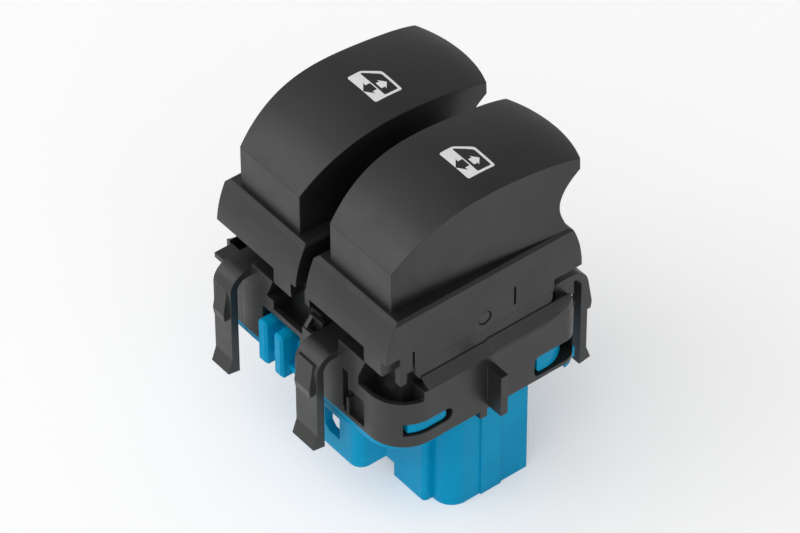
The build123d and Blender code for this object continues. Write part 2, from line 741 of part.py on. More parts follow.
# ---------------------------------------------------------------- rockers
for side, x in rocker_centres:
    with BuildPart() as carrier:
        # solid skirt, then the hollow; front and rear walls are arcs about the axis
        for inset, half, mode in (
            (0.0, skirt_width / 2, Mode.ADD),
            (skirt_wall, skirt_width / 2 - skirt_wall, Mode.SUBTRACT),
        ):
            radius = skirt_radius - inset
            top = rim_z - (carrier_deck if inset else 0.0)
            y_top = sqrt(radius**2 - (top - pivot_z) ** 2)
            y_low = sqrt(radius**2 - (side_bottom - pivot_z) ** 2)
            with BuildSketch(Plane.YZ.offset(x - half)):
                with BuildLine():
                    Line((-y_top, top), (y_top, top))
                    RadiusArc((y_top, top), (y_low, side_bottom), radius)
                    Line((y_low, side_bottom), (-y_low, side_bottom))
                    RadiusArc((-y_low, side_bottom), (-y_top, top), radius)
                make_face()
            extrude(amount=2 * half, mode=mode)
        rim = carrier.faces().sort_by(Axis.Z)[-1]
        chamfer(rim.edges(), rim_chamfer)
        # the front and rear walls end higher than the sides and leave a stop tab each
        for turn, bottom in ((1, skirt_bottom), (-1, rim_z - skirt_rear_depth)):
            tab_bottom = skirt_bottom - tab_reach
            cut_height = bottom - side_bottom + skirt_wall
            beyond = Plane(
                origin=(x, -turn * (skirt_radius + skirt_wall), bottom),
                x_dir=(turn, 0, 0),
                z_dir=(0, -turn, 0),
            )
            with BuildSketch(beyond):
                with Locations((0, -cut_height / 2)):
                    Rectangle(skirt_width, cut_height)
                with Locations(((tab_x[0] + tab_x[1]) / 2, (tab_bottom - bottom) / 2)):
                    Rectangle(tab_x[1] - tab_x[0], bottom - tab_bottom, mode=Mode.SUBTRACT)
            extrude(amount=-skirt_end - skirt_wall, mode=Mode.SUBTRACT)
        # ears round the pivots
        for hand in (-1, 1):
            outer = x + hand * skirt_width / 2
            with BuildSketch(Plane.YZ.offset(outer)):
                with Locations((0, pivot_z)):
                    Circle(ear_radius)
                with Locations((0, pivot_z + ear_radius / 2)):
                    Rectangle(2 * ear_radius, ear_radius)
            extrude(amount=-hand * skirt_wall)
            with BuildSketch(Plane.YZ.offset(outer)):
                with Locations((0, pivot_z)):
                    Circle(pivot_pin_d / 2 + pivot_gap)
            extrude(amount=-hand * skirt_wall, mode=Mode.SUBTRACT)
            # side flap with its prong, point-symmetric on the two sides
            with BuildSketch(Plane.YZ.offset(outer)):
                flap_mid = hand * (flap_y[0] + flap_y[1]) / 2
                with Locations((flap_mid, skirt_bottom - (flap_reach - flap_root) / 2)):
                    Rectangle(flap_y[1] - flap_y[0], flap_reach + flap_root)
                prong_mid = hand * (flap_y[0] + prong_width / 2)
                with Locations((prong_mid, skirt_bottom - prong_reach / 2)):
                    Rectangle(prong_width, prong_reach)
            extrude(amount=-hand * skirt_wall)
            # open slit beside the flap and closed slit behind the pivot
            slit_top = side_bottom + slit_height
            with BuildSketch(Plane.YZ.offset(outer)):
                with Locations((hand * (flap_y[1] + slit_width / 2), slit_top - slit_height)):
                    Rectangle(slit_width, 2 * slit_height)
                with Locations((hand * slit_y, (slit_z[0] + slit_z[1]) / 2)):
                    Rectangle(slit_width, slit_z[1] - slit_z[0])
            extrude(amount=-hand * skirt_wall, mode=Mode.SUBTRACT)
        # guide tube of the plunger under the deck
        with BuildSketch(Plane.XY.offset(tube_bottom)):
            with Locations((x, 0)):
                Circle(tube_d / 2)
                Circle(plunger_d / 2 + plunger_gap, mode=Mode.SUBTRACT)
        extrude(amount=rim_z - carrier_deck / 2 - tube_bottom)
        # light shaft and peg holes through the deck
        with BuildSketch(Plane.XY.offset(rim_z)):
            with Locations((x, guide_y + guide_l / 2)):
                Rectangle(guide_x + 2 * guide_gap, guide_l + 2 * guide_gap)
            with Locations((x, 0)):
                with GridLocations(2 * peg_x, 2 * peg_y, 2, 2):
                    Circle(peg_d / 2 + peg_gap)
        extrude(amount=-carrier_deck, mode=Mode.SUBTRACT)

    carrier.part.label = f"rocker_carrier_{side}"
    export_step(carrier.part, f"parts/rocker_carrier_{side}.step")

    with BuildPart() as cap:
        # outer body and cavity: cross-sections from the front face past the rear lip
        for inset, stations, mode in (
            (0.0, outer_stations, Mode.ADD),
            (cap_wall, inner_stations, Mode.SUBTRACT),
        ):
            for s in stations:
                half = top_half(s) - inset
                foot = base_half(s) - inset
                shoulder = edge_height(s) - inset * ceiling_share
                with BuildSketch(Plane.XZ.offset(-(cap_front_y + s))):
                    with BuildLine():
                        Polyline(
                            (x - half, shoulder),
                            (x - foot, rim_z),
                            (x + foot, rim_z),
                            (x + half, shoulder),
                        )
                        if inset:
                            Line((x + half, shoulder), (x - half, shoulder))
                        else:
                            ThreePointArc((x + half, shoulder), (x, shoulder + bow(s)), (x - half, shoulder))
                    make_face()
            loft(ruled=inset > 0, mode=mode)
        # rear: upright lip, bowed in plan
        lip_back = lip_centre_y + lip_radius
        lip_z = edge_height(cap_length)
        with BuildSketch(Plane.XY.offset(rim_z)):
            with Locations((x, lip_back)):
                Rectangle(2 * lip_radius, 2 * lip_radius)
            with Locations((x, lip_centre_y)):
                Circle(lip_radius, mode=Mode.SUBTRACT)
        extrude(amount=lip_z + 2 * crown_bow - rim_z, mode=Mode.SUBTRACT)
        # finger hollow below the lip: plan sections that straighten towards the rim
        half = cap_base_half + cap_wall
        corner_y = lip_centre_y + sqrt(lip_radius**2 - cap_top_half**2)
        edge_y = lip_centre_y + sqrt(lip_radius**2 - half**2)
        for depth, inward, share in hollow_stations:
            middle = corner_y - inward + share * (lip_back - corner_y)
            edge = corner_y - inward - share * (corner_y - edge_y)
            with BuildSketch(Plane.XY.offset(lip_z - lip_depth - depth)):
                with BuildLine():
                    ThreePointArc((x - half, edge), (x, middle), (x + half, edge))
                    Polyline(
                        (x + half, edge),
                        (x + half, lip_back + cap_wall),
                        (x - half, lip_back + cap_wall),
                        (x - half, edge),
                    )
                make_face()
        loft(mode=Mode.SUBTRACT)

        # bosses under the top wall, each with a peg into the deck of the carrier
        boss_r = peg_d / 2 + peg_boss
        for y in (-peg_y, peg_y):
            s = y - cap_front_y
            boss_top = min(edge_height(s - boss_r), edge_height(s + boss_r)) - cap_wall / 2
            for low, high, radius in ((rim_z, boss_top, boss_r), (rim_z - carrier_deck, rim_z, peg_d / 2)):
                with BuildSketch(Plane.XY.offset(low)):
                    with Locations((x - peg_x, y), (x + peg_x, y)):
                        Circle(radius)
                extrude(amount=high - low)

    cap.part.label = f"rocker_cap_{side}"
    export_step(cap.part, f"parts/rocker_cap_{side}.step")

    # light guide under the pictogram: tapered foot, shaft through the deck, seating flange
    guide_mid_y = guide_y + guide_l / 2
    guide_end = guide_y + guide_l - cap_front_y
    guide_top = edge_height(guide_end) - cap_wall * ceiling_share - 2 * guide_gap
    taper_top = rim_z - carrier_deck - guide_flange
    with BuildPart() as light_guide:
        for level, draft in ((guide_bottom, guide_draft), (taper_top, 0)):
            with BuildSketch(Plane.XY.offset(level)):
                with Locations((x, guide_mid_y)):
                    Rectangle(guide_x - 2 * draft, guide_l - 2 * draft)
        loft()
        with BuildSketch(Plane.XY.offset(taper_top)):
            with Locations((x, guide_mid_y)):
                Rectangle(guide_x, guide_l)
        extrude(amount=guide_top - taper_top)
        with BuildSketch(Plane.XY.offset(rim_z)):
            with Locations((x, guide_mid_y)):
                Rectangle(guide_x + 2 * guide_flange, guide_l + 2 * guide_flange)
        extrude(amount=guide_flange)

    light_guide.part.label = f"light_guide_{side}"
    export_step(light_guide.part, f"parts/light_guide_{side}.step")

    # plunger: hollow pin with a rounded tip that slides in the carrier's tube
    tip_z = blade_z + blade_t + post_gap
    tip_r = plunger_tip / 2
    seat_r = (spring_d + plunger_gap) / 2
    seat_z = plunger_top - spring_seat
    with BuildPart() as plunger:
        with BuildSketch(Plane(origin=(x, 0, 0), x_dir=(1, 0, 0), z_dir=(0, -1, 0))):
            with BuildLine():
                Polyline(
                    (0, tip_z),
                    (tip_r / 2, tip_z),
                    (tip_r, tip_z + tip_r / 2),
                    (tip_r, plunger_neck),
                    (plunger_d / 2, plunger_neck + plunger_cone),
                    (plunger_d / 2, plunger_top),
                    (seat_r, plunger_top),
                    (seat_r, seat_z),
                    (0, seat_z),
                    (0, tip_z),
                )
            make_face()
        revolve(axis=Axis((x, 0, 0), (0, 0, 1)))
    plunger.part.label = f"plunger_{side}"
    export_step(plunger.part, f"parts/plunger_{side}.step")

    # return spring between plunger and carrier deck
    spring_low = seat_z + spring_wire / 2
    spring_high = rim_z - carrier_deck - spring_wire / 2
    with BuildPart() as spring:
        with BuildLine() as coil:
            Helix(
                pitch=(spring_high - spring_low) / spring_turns,
                height=spring_high - spring_low,
                radius=spring_d / 2 - spring_wire / 2,
                center=(x, 0, spring_low),
            )
        with BuildSketch(Plane(origin=coil.line @ 0, z_dir=coil.line % 0)):
            Rectangle(spring_wire, spring_wire)
        sweep(is_frenet=True)
    spring.part.label = f"plunger_spring_{side}"
    export_step(spring.part, f"parts/plunger_spring_{side}.step")

    # contact blade: see-saw strip with raised ends and contact rivets
    with BuildPart() as blade:
        with BuildSketch(Plane.YZ.offset(x - blade_w / 2)):
            with BuildLine():
                Polyline(
                    (-blade_half, blade_z + blade_lift),
                    (-blade_half + blade_bend[0], blade_z + blade_lift),
                    (-blade_half + blade_bend[1], blade_z),
                    (blade_half - blade_bend[1], blade_z),
                    (blade_half - blade_bend[0], blade_z + blade_lift),
                    (blade_half, blade_z + blade_lift),
                    (blade_half, blade_z + blade_lift + blade_t),
                    (blade_half - blade_bend[0], blade_z + blade_lift + blade_t),
                    (blade_half - blade_bend[1], blade_z + blade_t),
                    (-blade_half + blade_bend[1], blade_z + blade_t),
                    (-blade_half + blade_bend[0], blade_z + blade_lift + blade_t),
                    (-blade_half, blade_z + blade_lift + blade_t),
                    close=True,
                )
            make_face()
        extrude(amount=blade_w)
        with BuildSketch(Plane.XY.offset(blade_z + blade_lift)):
            with Locations((x, -contact_y), (x, contact_y)):
                Circle(rivet_d / 2)
        extrude(amount=-rivet_h)
    blade.part.label = f"contact_blade_{side}"
    export_step(blade.part, f"parts/contact_blade_{side}.step")

    # common post: cradle with a knife edge that carries the blade
    with BuildPart() as post:
        with BuildSketch(Plane.YZ.offset(x - blade_w / 2)):
            with BuildLine():
                Polyline(
                    (-post_half, board_top),
                    (post_half, board_top),
                    (post_half, board_top + post_shoulder),
                    (post_knife, blade_z - post_gap),
                    (-post_knife, blade_z - post_gap),
                    (-post_half, board_top + post_shoulder),
                    close=True,
                )
            make_face()
        extrude(amount=blade_w)
        with BuildSketch(Plane.XY.offset(board_top)):
            for hand in (-1, 1):
                with Locations((x + hand * (blade_w + sum(post_cheek)) / 2, 0)):
                    Rectangle(post_cheek[1] - post_cheek[0], 2 * post_half)
        extrude(amount=blade_z + post_cheek_rise - board_top)
        with BuildSketch(Plane.XY.offset(board_top)):
            with Locations((x, 0)):
                Rectangle(blade_w + 2 * post_cheek[1], 2 * post_half)
        extrude(amount=post_foot)
    post.part.label = f"common_post_{side}"
    export_step(post.part, f"parts/common_post_{side}.step")

    # fixed contacts under both ends of the blade
    for use, hand in (("down", -1), ("up", 1)):
        with BuildPart() as contact:
            with BuildSketch(Plane.XY.offset(board_top)):
                with Locations((x, hand * contact_y)):
                    Rectangle(contact_foot[0], contact_foot[1])
            extrude(amount=contact_foot[2])
            with BuildSketch(Plane.XY.offset(board_top + contact_foot[2])):
                with Locations((x, hand * contact_y)):
                    Circle(contact_d / 2)
            extrude(amount=blade_z - contact_drop - board_top - contact_foot[2])
        contact.part.label = f"{use}_contact_{side}"
        export_step(contact.part, f"parts/{use}_contact_{side}.step")

    # illumination: a small lamp chip under the light guide and its resistor
    with BuildPart() as lamp:
        with BuildSketch(Plane.XY.offset(board_top)):
            with Locations((x, lamp_y)):
                Rectangle(lamp_chip[0], lamp_chip[1])
        extrude(amount=lamp_chip[2])
        with BuildSketch(Plane.XY.offset(board_top + lamp_chip[2])):
            with Locations((x, lamp_y)):
                Circle(lamp_lens_d / 2)
        extrude(amount=lamp_lens_h, taper=lamp_lens_taper)
    lamp.part.label = f"lamp_{side}"
    export_step(lamp.part, f"parts/lamp_{side}.step")

    with BuildPart() as resistor:
        with BuildSketch(Plane.XY.offset(board_top)):
            with Locations((x + resistor_at[0], resistor_at[1])):
                Rectangle(resistor_chip[0], resistor_chip[1])
        extrude(amount=resistor_chip[2])
    resistor.part.label = f"resistor_{side}"
    export_step(resistor.part, f"parts/resistor_{side}.step")
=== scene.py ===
import math

import bmesh
import bpy
from mathutils import Matrix, Vector
from mathutils.bvhtree import BVHTree


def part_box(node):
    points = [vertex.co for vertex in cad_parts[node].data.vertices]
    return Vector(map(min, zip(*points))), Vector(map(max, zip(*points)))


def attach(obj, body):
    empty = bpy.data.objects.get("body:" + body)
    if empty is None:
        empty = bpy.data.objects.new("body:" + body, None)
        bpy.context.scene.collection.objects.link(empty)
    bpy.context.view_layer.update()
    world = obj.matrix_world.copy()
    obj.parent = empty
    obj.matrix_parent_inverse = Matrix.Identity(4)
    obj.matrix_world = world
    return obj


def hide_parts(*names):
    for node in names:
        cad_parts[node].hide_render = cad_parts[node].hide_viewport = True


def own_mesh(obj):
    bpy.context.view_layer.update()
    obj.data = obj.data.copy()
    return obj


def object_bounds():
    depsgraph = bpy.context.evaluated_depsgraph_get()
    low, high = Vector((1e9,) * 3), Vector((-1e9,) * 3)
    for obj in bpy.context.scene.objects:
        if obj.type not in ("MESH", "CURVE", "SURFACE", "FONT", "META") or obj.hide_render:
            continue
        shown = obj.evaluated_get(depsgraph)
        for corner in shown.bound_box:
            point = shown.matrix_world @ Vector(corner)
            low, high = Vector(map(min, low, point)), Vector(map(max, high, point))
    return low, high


# Looks of the twin rocker window switch: moulded satin plastics, a few forms fitted
# to the CAD solids, the printed window signs on the rockers, a pale floor and soft
# studio light. The scene is in metres; fitted forms and signs are written in millimetres.

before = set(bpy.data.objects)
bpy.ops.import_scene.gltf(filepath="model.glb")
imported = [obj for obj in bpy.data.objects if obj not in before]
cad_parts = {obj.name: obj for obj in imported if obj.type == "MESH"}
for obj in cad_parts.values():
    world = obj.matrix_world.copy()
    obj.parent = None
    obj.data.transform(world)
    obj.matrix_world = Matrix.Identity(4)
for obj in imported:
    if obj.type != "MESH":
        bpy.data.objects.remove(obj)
cad_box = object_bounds()
SIDES = ("left", "right")
MM = 0.001
DOWN = Vector((0, 0, -1))


# ---------------------------------------------------------------- materials
# Scales of the noise are in cells per metre
COLOR_SCALE = 90
COLOR_SPAN = (0.35, 0.65)                  # part of the noise that is spread over the colours
GLOSS_SPAN = (0.3, 0.7)                    # and over the roughness
MOULDED_GLOSS = (260, -0.05, 0.07)         # scale, then how far roughness drifts down and up
METAL_GLOSS = (900, -0.06, 0.1)
CLEAR_GLOSS = (400, 0.0, 0.1)
GRAIN_SCALE = 5200
GRAIN_DEPTH = 0.03 * MM


def new_material(name, color, roughness, specular=0.5):
    """A Principled material with its plain values set, and its shader."""
    material = bpy.data.materials.new(name)
    material.use_nodes = True
    shader = material.node_tree.nodes["Principled BSDF"]
    shader.inputs["Base Color"].default_value = (*color, 1.0)
    shader.inputs["Roughness"].default_value = roughness
    shader.inputs["Specular IOR Level"].default_value = specular
    return material, shader


def add_noise(material, scale, detail=3.0, roughness=0.55):
    """A noise texture in object space, with scale in cells per metre."""
    nodes, links = material.node_tree.nodes, material.node_tree.links
    coords = nodes.new("ShaderNodeTexCoord")
    noise = nodes.new("ShaderNodeTexNoise")
    noise.inputs["Scale"].default_value = scale
    noise.inputs["Detail"].default_value = detail
    noise.inputs["Roughness"].default_value = roughness
    links.new(coords.outputs["Object"], noise.inputs["Vector"])
    return noise


def vary_color(material, shader, dark, light, scale):
    """Slow drift of the colour between two close shades."""
    nodes, links = material.node_tree.nodes, material.node_tree.links
    noise = add_noise(material, scale, detail=4.0)
    ramp = nodes.new("ShaderNodeValToRGB")
    ramp.color_ramp.elements[0].position = COLOR_SPAN[0]
    ramp.color_ramp.elements[0].color = (*dark, 1.0)
    ramp.color_ramp.elements[1].position = COLOR_SPAN[1]
    ramp.color_ramp.elements[1].color = (*light, 1.0)
    links.new(noise.outputs["Fac"], ramp.inputs["Fac"])
    links.new(ramp.outputs["Color"], shader.inputs["Base Color"])


def vary_roughness(material, shader, roughness, gloss):
    """Faint blotches of gloss, as a mould leaves them."""
    scale, below, above = gloss
    nodes, links = material.node_tree.nodes, material.node_tree.links
    noise = add_noise(material, scale, detail=5.0)
    span = nodes.new("ShaderNodeMapRange")
    span.inputs["From Min"].default_value = GLOSS_SPAN[0]
    span.inputs["From Max"].default_value = GLOSS_SPAN[1]
    span.inputs["To Min"].default_value = roughness + below
    span.inputs["To Max"].default_value = roughness + above
    links.new(noise.outputs["Fac"], span.inputs["Value"])
    links.new(span.outputs["Result"], shader.inputs["Roughness"])


def add_grain(material, shader, scale, strength, depth, edge):
    """Fine grain of the mould as a bump, over edges rounded by the mould."""
    nodes, links = material.node_tree.nodes, material.node_tree.links
    noise = add_noise(material, scale, detail=2.0, roughness=0.6)
    rounding = nodes.new("ShaderNodeBevel")
    rounding.samples = 6
    rounding.inputs["Radius"].default_value = edge
    bump = nodes.new("ShaderNodeBump")
    links.new(rounding.outputs["Normal"], bump.inputs["Normal"])
    bump.inputs["Strength"].default_value = strength
    bump.inputs["Distance"].default_value = depth
    links.new(noise.outputs["Fac"], bump.inputs["Height"])
    links.new(bump.outputs["Normal"], shader.inputs["Normal"])


def moulded(name, dark, light, roughness, grain=0.25, specular=0.5, edge=0.2):
    """Moulded plastic between two close shades; edge is its rounding in millimetres."""
    material, shader = new_material(name, light, roughness, specular)
    vary_color(material, shader, dark, light, COLOR_SCALE)
    vary_roughness(material, shader, roughness, MOULDED_GLOSS)
    add_grain(material, shader, GRAIN_SCALE, grain, GRAIN_DEPTH, edge * MM)
    return material


def metal(name, color, roughness):
    """Bare metal with slightly uneven gloss."""
    material, shader = new_material(name, color, roughness)
    shader.inputs["Metallic"].default_value = 1.0
    vary_roughness(material, shader, roughness, METAL_GLOSS)
    return material


def clear_plastic(name, color, roughness):
    """Clear plastic of a light guide or a lamp."""
    material, shader = new_material(name, color, roughness)
    shader.inputs["Transmission Weight"].default_value = 0.85
    shader.inputs["IOR"].default_value = 1.49
    vary_roughness(material, shader, roughness, CLEAR_GLOSS)
    return material


materials = {
    "cap": moulded("cap_satin_black", (0.007, 0.007, 0.0069), (0.010, 0.010, 0.0098), 0.36, 0.1, edge=0.3),
    "carrier": moulded("carrier_black", (0.006, 0.006, 0.0059), (0.010, 0.010, 0.0098), 0.38),
    "housing": moulded("housing_black", (0.011, 0.0108, 0.0104), (0.016, 0.0158, 0.0152), 0.36),
    "base": moulded("base_blue", (0.0, 0.29, 0.53), (0.001, 0.34, 0.60), 0.3, specular=0.08),
    "board": moulded("board_green", (0.01, 0.09, 0.03), (0.015, 0.12, 0.045), 0.35),
    "plunger": moulded("plunger_white", (0.62, 0.61, 0.57), (0.70, 0.69, 0.65), 0.4),
    "chip": moulded("chip_black", (0.01, 0.01, 0.01), (0.02, 0.02, 0.02), 0.5),
    "tin": metal("tinned_pin", (0.72, 0.71, 0.68), 0.3),
    "brass": metal("contact_brass", (0.72, 0.48, 0.2), 0.3),
    "steel": metal("spring_steel", (0.55, 0.55, 0.56), 0.28),
    "clear": clear_plastic("clear_guide", (0.9, 0.92, 0.92), 0.12),
    "print": moulded("white_print", (0.72, 0.72, 0.72), (0.82, 0.82, 0.82), 0.5, 0.05),
}

NODE_LOOKS = {
    "housing_frame": "housing",
    "connector_base": "base",
    "circuit_board": "board",
    "rocker_carrier": "carrier",
    "rocker_cap": "cap",
    "light_guide": "clear",
    "plunger_spring": "steel",
    "plunger": "plunger",
    "contact_blade": "brass",
    "common_post": "brass",
    "down_contact": "brass",
    "up_contact": "brass",
    "lamp": "clear",
    "resistor": "chip",
    "terminal_pin": "tin",
}


def look_of(node):
    """The look whose name is the longest start of the node's name."""
    starts = [key for key in NODE_LOOKS if node.startswith(key)]
    return materials[NODE_LOOKS[max(starts, key=len)]]


for node_name, node_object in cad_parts.items():
    node_object.data.materials.clear()
    node_object.data.materials.append(look_of(node_name))


# ---------------------------------------------------------------- fitted forms
# Sizes in millimetres, for the right side and the rear; a form on the left or at the front
# is the same turned half round. The walls are found on the CAD surfaces by straight probes.
FAR = 60                      # probes of a side start here, well outside the part
PROBE_Y = 8                   # a plain stretch of the side walls
WALL_Z, SKIRT_Z = 4, 14       # heights on the housing's wall and on the skirt
LEDGE_Y, ABOVE_LEDGE = 5, 8   # where a probe comes down on the ledge
EDGE_IN = 0.5                 # and how far from the side it does
SINK = 0.05                   # how far a fitted form runs into the piece that carries it
TOUCH = 0.01                  # gap or tolerance at a shared face

FRAME_CORNER = 6.8            # plan radius of the housing's corners
SHARP_CORNER = 3.0            # and of two of them, once filled
CORNER_STEPS = 10
FILL_LEAD = 0.6               # a corner's fill starts this far before the rounding
FILL_DEPTH = 0.03             # and this deep in the wall
SLOT_TOP, SLOT_FOOT = -1.0, -5.2
SLOT_END = 0.75               # wall left between the catch slot and the end wall
BAND_FOOT = -6.0
FLANGE_FOOT = -7.2
FLANGE_INSET = 0.4            # side of the blue flange, inside the side wall
FLANGE_CORNER = FRAME_CORNER - 0.1
REAR_FLANGE_OUT = 0.1         # end of the flange, past the end wall
FRONT_FLANGE_OUT = -0.1
REAR_FLANGE_RUN = 3.4         # the rear fill of the flange starts this far before the wall

HEEL_X = (19.1, 20.9)         # where the vertices of the CAD's heel lie
HEEL_Y = (14.4, 19.7)
HEEL_FOOT = -8.2              # foot and front of the shorter heel
HEEL_FRONT = 17.0

APRON_FRONT = -12.9
APRON_SLANT = 0.6             # its foot lies this far behind its crest, up to the rear corner
APRON_RISE = 2.4              # crest of the sloped apron above the ledge
APRON_JOG_Y = 0.4             # the crest and the lip are higher behind this line
APRON_JOG = 0.3
APRON_JOG_RUN = 0.02          # half the length of that step
APRON_TURN_Y = 12.0           # where the lip starts to climb round the rear corner
APRON_TURN_RUN = 5.3
APRON_CLIMB = 2.1
APRON_STEPS = 16
APRON_LIP = 0.02              # least height of the lip
APRON_FLUSH = 0.015           # the lip is this far inside the outer wall
APRON_CREST = 0.09            # outer edge of the crest, outside the skirt's face
APRON_TOP = 0.1               # width of the crest
APRON_THIN = 0.1              # least distance of the crest from the lip

STEP_INSETS = (0.02, 0.05)    # faces of the two steps below the skirt, inside its own
STEP_BACK = 0.75              # and their back
STEP_FIRST = 1.0              # drop of the first step below the skirt
STEP_DROP = 3.1               # and of the second
STEP_END_DROP = 1.7           # the second at its ends, and the run of its slope
STEP_END_RUN = 0.8
STEP_HALF = 13.9              # half their length

WEB_LEFT, WEB_RIGHT = 17.2, 19.39
WEB_SINK, WEB_OUT = 0.3, 1.45              # before and past the end wall
WEB_FOOT, WEB_TOP = 4.2, 7.1


def surface_of(node):
    """The CAD node's surface, for finding places on it."""
    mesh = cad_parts[node].data
    return BVHTree.FromPolygons([v.co for v in mesh.vertices], [p.vertices for p in mesh.polygons])


def reach(surface, start, toward):
    """Where a straight line from start, in millimetres, meets the surface, in millimetres."""
    hit = surface.ray_cast(Vector(start) * MM, Vector(toward))[0]
    return hit / MM


def fitted_piece(name, shells, look, body):
    """A piece of closed shells: each is a row of rings with equal numbers of points."""
    form = bmesh.new()
    for rings in shells:
        rows = [[form.verts.new(Vector(point) * MM) for point in ring] for ring in rings]
        count = len(rows[0])
        for row, following in zip(rows, rows[1:]):
            for k in range(count):
                m = (k + 1) % count
                form.faces.new((row[k], row[m], following[m], following[k]))
        form.faces.new(rows[0])
        form.faces.new(rows[-1])
    bmesh.ops.recalc_face_normals(form, faces=form.faces[:])
    bmesh.ops.triangulate(form, faces=form.faces[:])
    mesh = bpy.data.meshes.new(name)
    form.to_mesh(mesh)
    form.free()
    mesh.materials.append(materials[look])
    piece = bpy.data.objects.new(name, mesh)
    bpy.context.scene.collection.objects.link(piece)
    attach(piece, body)


def quarter_circle(middle, radius):
    """Points of a rounding in plan, from its +X end to its +Y end."""
    points = []
    for k in range(CORNER_STEPS + 1):
        angle = math.radians(90 * k / CORNER_STEPS)
        points.append((middle[0] + radius * math.cos(angle), middle[1] + radius * math.sin(angle)))
    return points


def corner_outline(width, depth, radius, wide):
    """Plan between a sharp rounding and the wider one of the CAD solid, for the +X +Y corner."""
    middle = (width - wide, depth - wide)
    first = (width - FILL_DEPTH, middle[1] - FILL_LEAD)
    last = (middle[0] - FILL_LEAD, depth - FILL_DEPTH)
    sharp = quarter_circle((width - radius, depth - radius), radius)
    inner = quarter_circle(middle, wide - SINK)
    return [first] + sharp + [last] + inner[::-1]


def prism(outline, turn, low, high):
    """Two rings of a plan outline, turned half round the origin for turn -1."""
    return [[(turn * x, turn * y, z) for x, y in outline] for z in (low, high)]


housing_surface = surface_of("housing_frame")
wall_x = reach(housing_surface, (FAR, PROBE_Y, WALL_Z), (-1, 0, 0)).x
wall_y = reach(housing_surface, (0, FAR, 0), (0, -1, 0)).y
ledge_z = reach(housing_surface, (wall_x - EDGE_IN, LEDGE_Y, ABOVE_LEDGE), (0, 0, -1)).z


def make_corner(place, turn, flange_out, flange_from):
    """One of the two tighter corners: housing over and under the catch slot, and the blue flange."""
    outline = corner_outline(wall_x, wall_y, SHARP_CORNER, FRAME_CORNER)
    closing = [(x, y) for x, y in outline if y > wall_y - SLOT_END]
    shells = [
        prism(outline, turn, SLOT_TOP, ledge_z),
        prism(outline, turn, BAND_FOOT, SLOT_FOOT),
        prism(closing, turn, SLOT_FOOT - SINK, SLOT_TOP + SINK),
    ]
    fitted_piece(f"housing_corner_{place}", shells, "housing", "housing")
    blue = corner_outline(wall_x - FLANGE_INSET, wall_y + flange_out, SHARP_CORNER, FLANGE_CORNER)
    blue = [(x, y) for x, y in blue if y > flange_from]
    shells = [prism(blue, turn, FLANGE_FOOT, BAND_FOOT - TOUCH)]
    fitted_piece(f"flange_corner_{place}", shells, "base", "housing")


make_corner("rear_right", 1, REAR_FLANGE_OUT, wall_y - REAR_FLANGE_RUN)
make_corner("front_left", -1, FRONT_FLANGE_OUT, 0.0)


def corner_x(y):
    """Outer wall of the filled corner at y."""
    past = y - (wall_y - SHARP_CORNER)
    if past <= 0:
        return wall_x
    return wall_x - SHARP_CORNER + math.sqrt(max(SHARP_CORNER**2 - past**2, 0.0))


def apron_stations():
    """Places along the apron: y, rise of its lip above the ledge, height of its crest."""
    crest = ledge_z + APRON_RISE
    stations = [
        (APRON_FRONT, 0, crest),
        (APRON_JOG_Y - APRON_JOG_RUN, 0, crest),
        (APRON_JOG_Y + APRON_JOG_RUN, APRON_JOG, crest + APRON_JOG),
    ]
    for k in range(APRON_STEPS + 1):
        part = k / APRON_STEPS
        y = APRON_TURN_Y + APRON_TURN_RUN * part
        stations.append((y, APRON_JOG + APRON_CLIMB * part**2, crest + APRON_JOG))
    return stations


def make_apron(side, turn, skirt_x):
    """Steep slope up from the ledge's outer edge; its lip climbs round the rear corner."""
    rings = []
    for y, lip, top in apron_stations():
        outer_x = corner_x(y) - APRON_FLUSH
        crest_x = min(skirt_x + APRON_CREST, outer_x - APRON_THIN)
        inside = crest_x - APRON_TOP
        slant = APRON_SLANT if y < APRON_TURN_Y else 0.0
        ring = [
            (outer_x, y + slant, ledge_z - SINK),
            (outer_x, y + slant, ledge_z + lip + APRON_LIP),
            (crest_x, y, top),
            (inside, y, top),
            (inside, y + slant, ledge_z - SINK),
        ]
        rings.append([(turn * x, turn * v, z) for x, v, z in ring])
    fitted_piece(f"ledge_apron_{side}", [rings], "housing", "housing")


def make_skirt_steps(side, turn, skirt_x, skirt_foot):
    """Two shallow steps below the side of the carrier."""
    first_x, second_x = (skirt_x - inset for inset in STEP_INSETS)
    back_x = skirt_x - STEP_BACK
    stations = [
        (-STEP_HALF, STEP_END_DROP),
        (-STEP_HALF + STEP_END_RUN, STEP_DROP),
        (STEP_HALF - STEP_END_RUN, STEP_DROP),
        (STEP_HALF, STEP_END_DROP),
    ]
    rings = []
    for y, drop in stations:
        ring = [
            (first_x, skirt_foot + SINK),
            (first_x, skirt_foot - STEP_FIRST),
            (second_x, skirt_foot - STEP_FIRST),
            (second_x, skirt_foot - drop),
            (back_x, skirt_foot - drop),
            (back_x, skirt_foot + SINK),
        ]
        rings.append([(turn * x, turn * y, z) for x, z in ring])
    fitted_piece(f"skirt_steps_{side}", [rings], "carrier", f"rocker_{side}")


def make_arm_web(place, turn):
    """Web between an arm and the wall under it."""
    near, far = wall_y - WEB_SINK, wall_y + WEB_OUT
    outline = [(WEB_LEFT, near), (WEB_RIGHT, near), (WEB_RIGHT, far), (WEB_LEFT, far)]
    shells = [prism(outline, turn, WEB_FOOT, WEB_TOP)]
    fitted_piece(f"arm_web_{place}", shells, "housing", "housing")


make_arm_web("rear_right", 1)

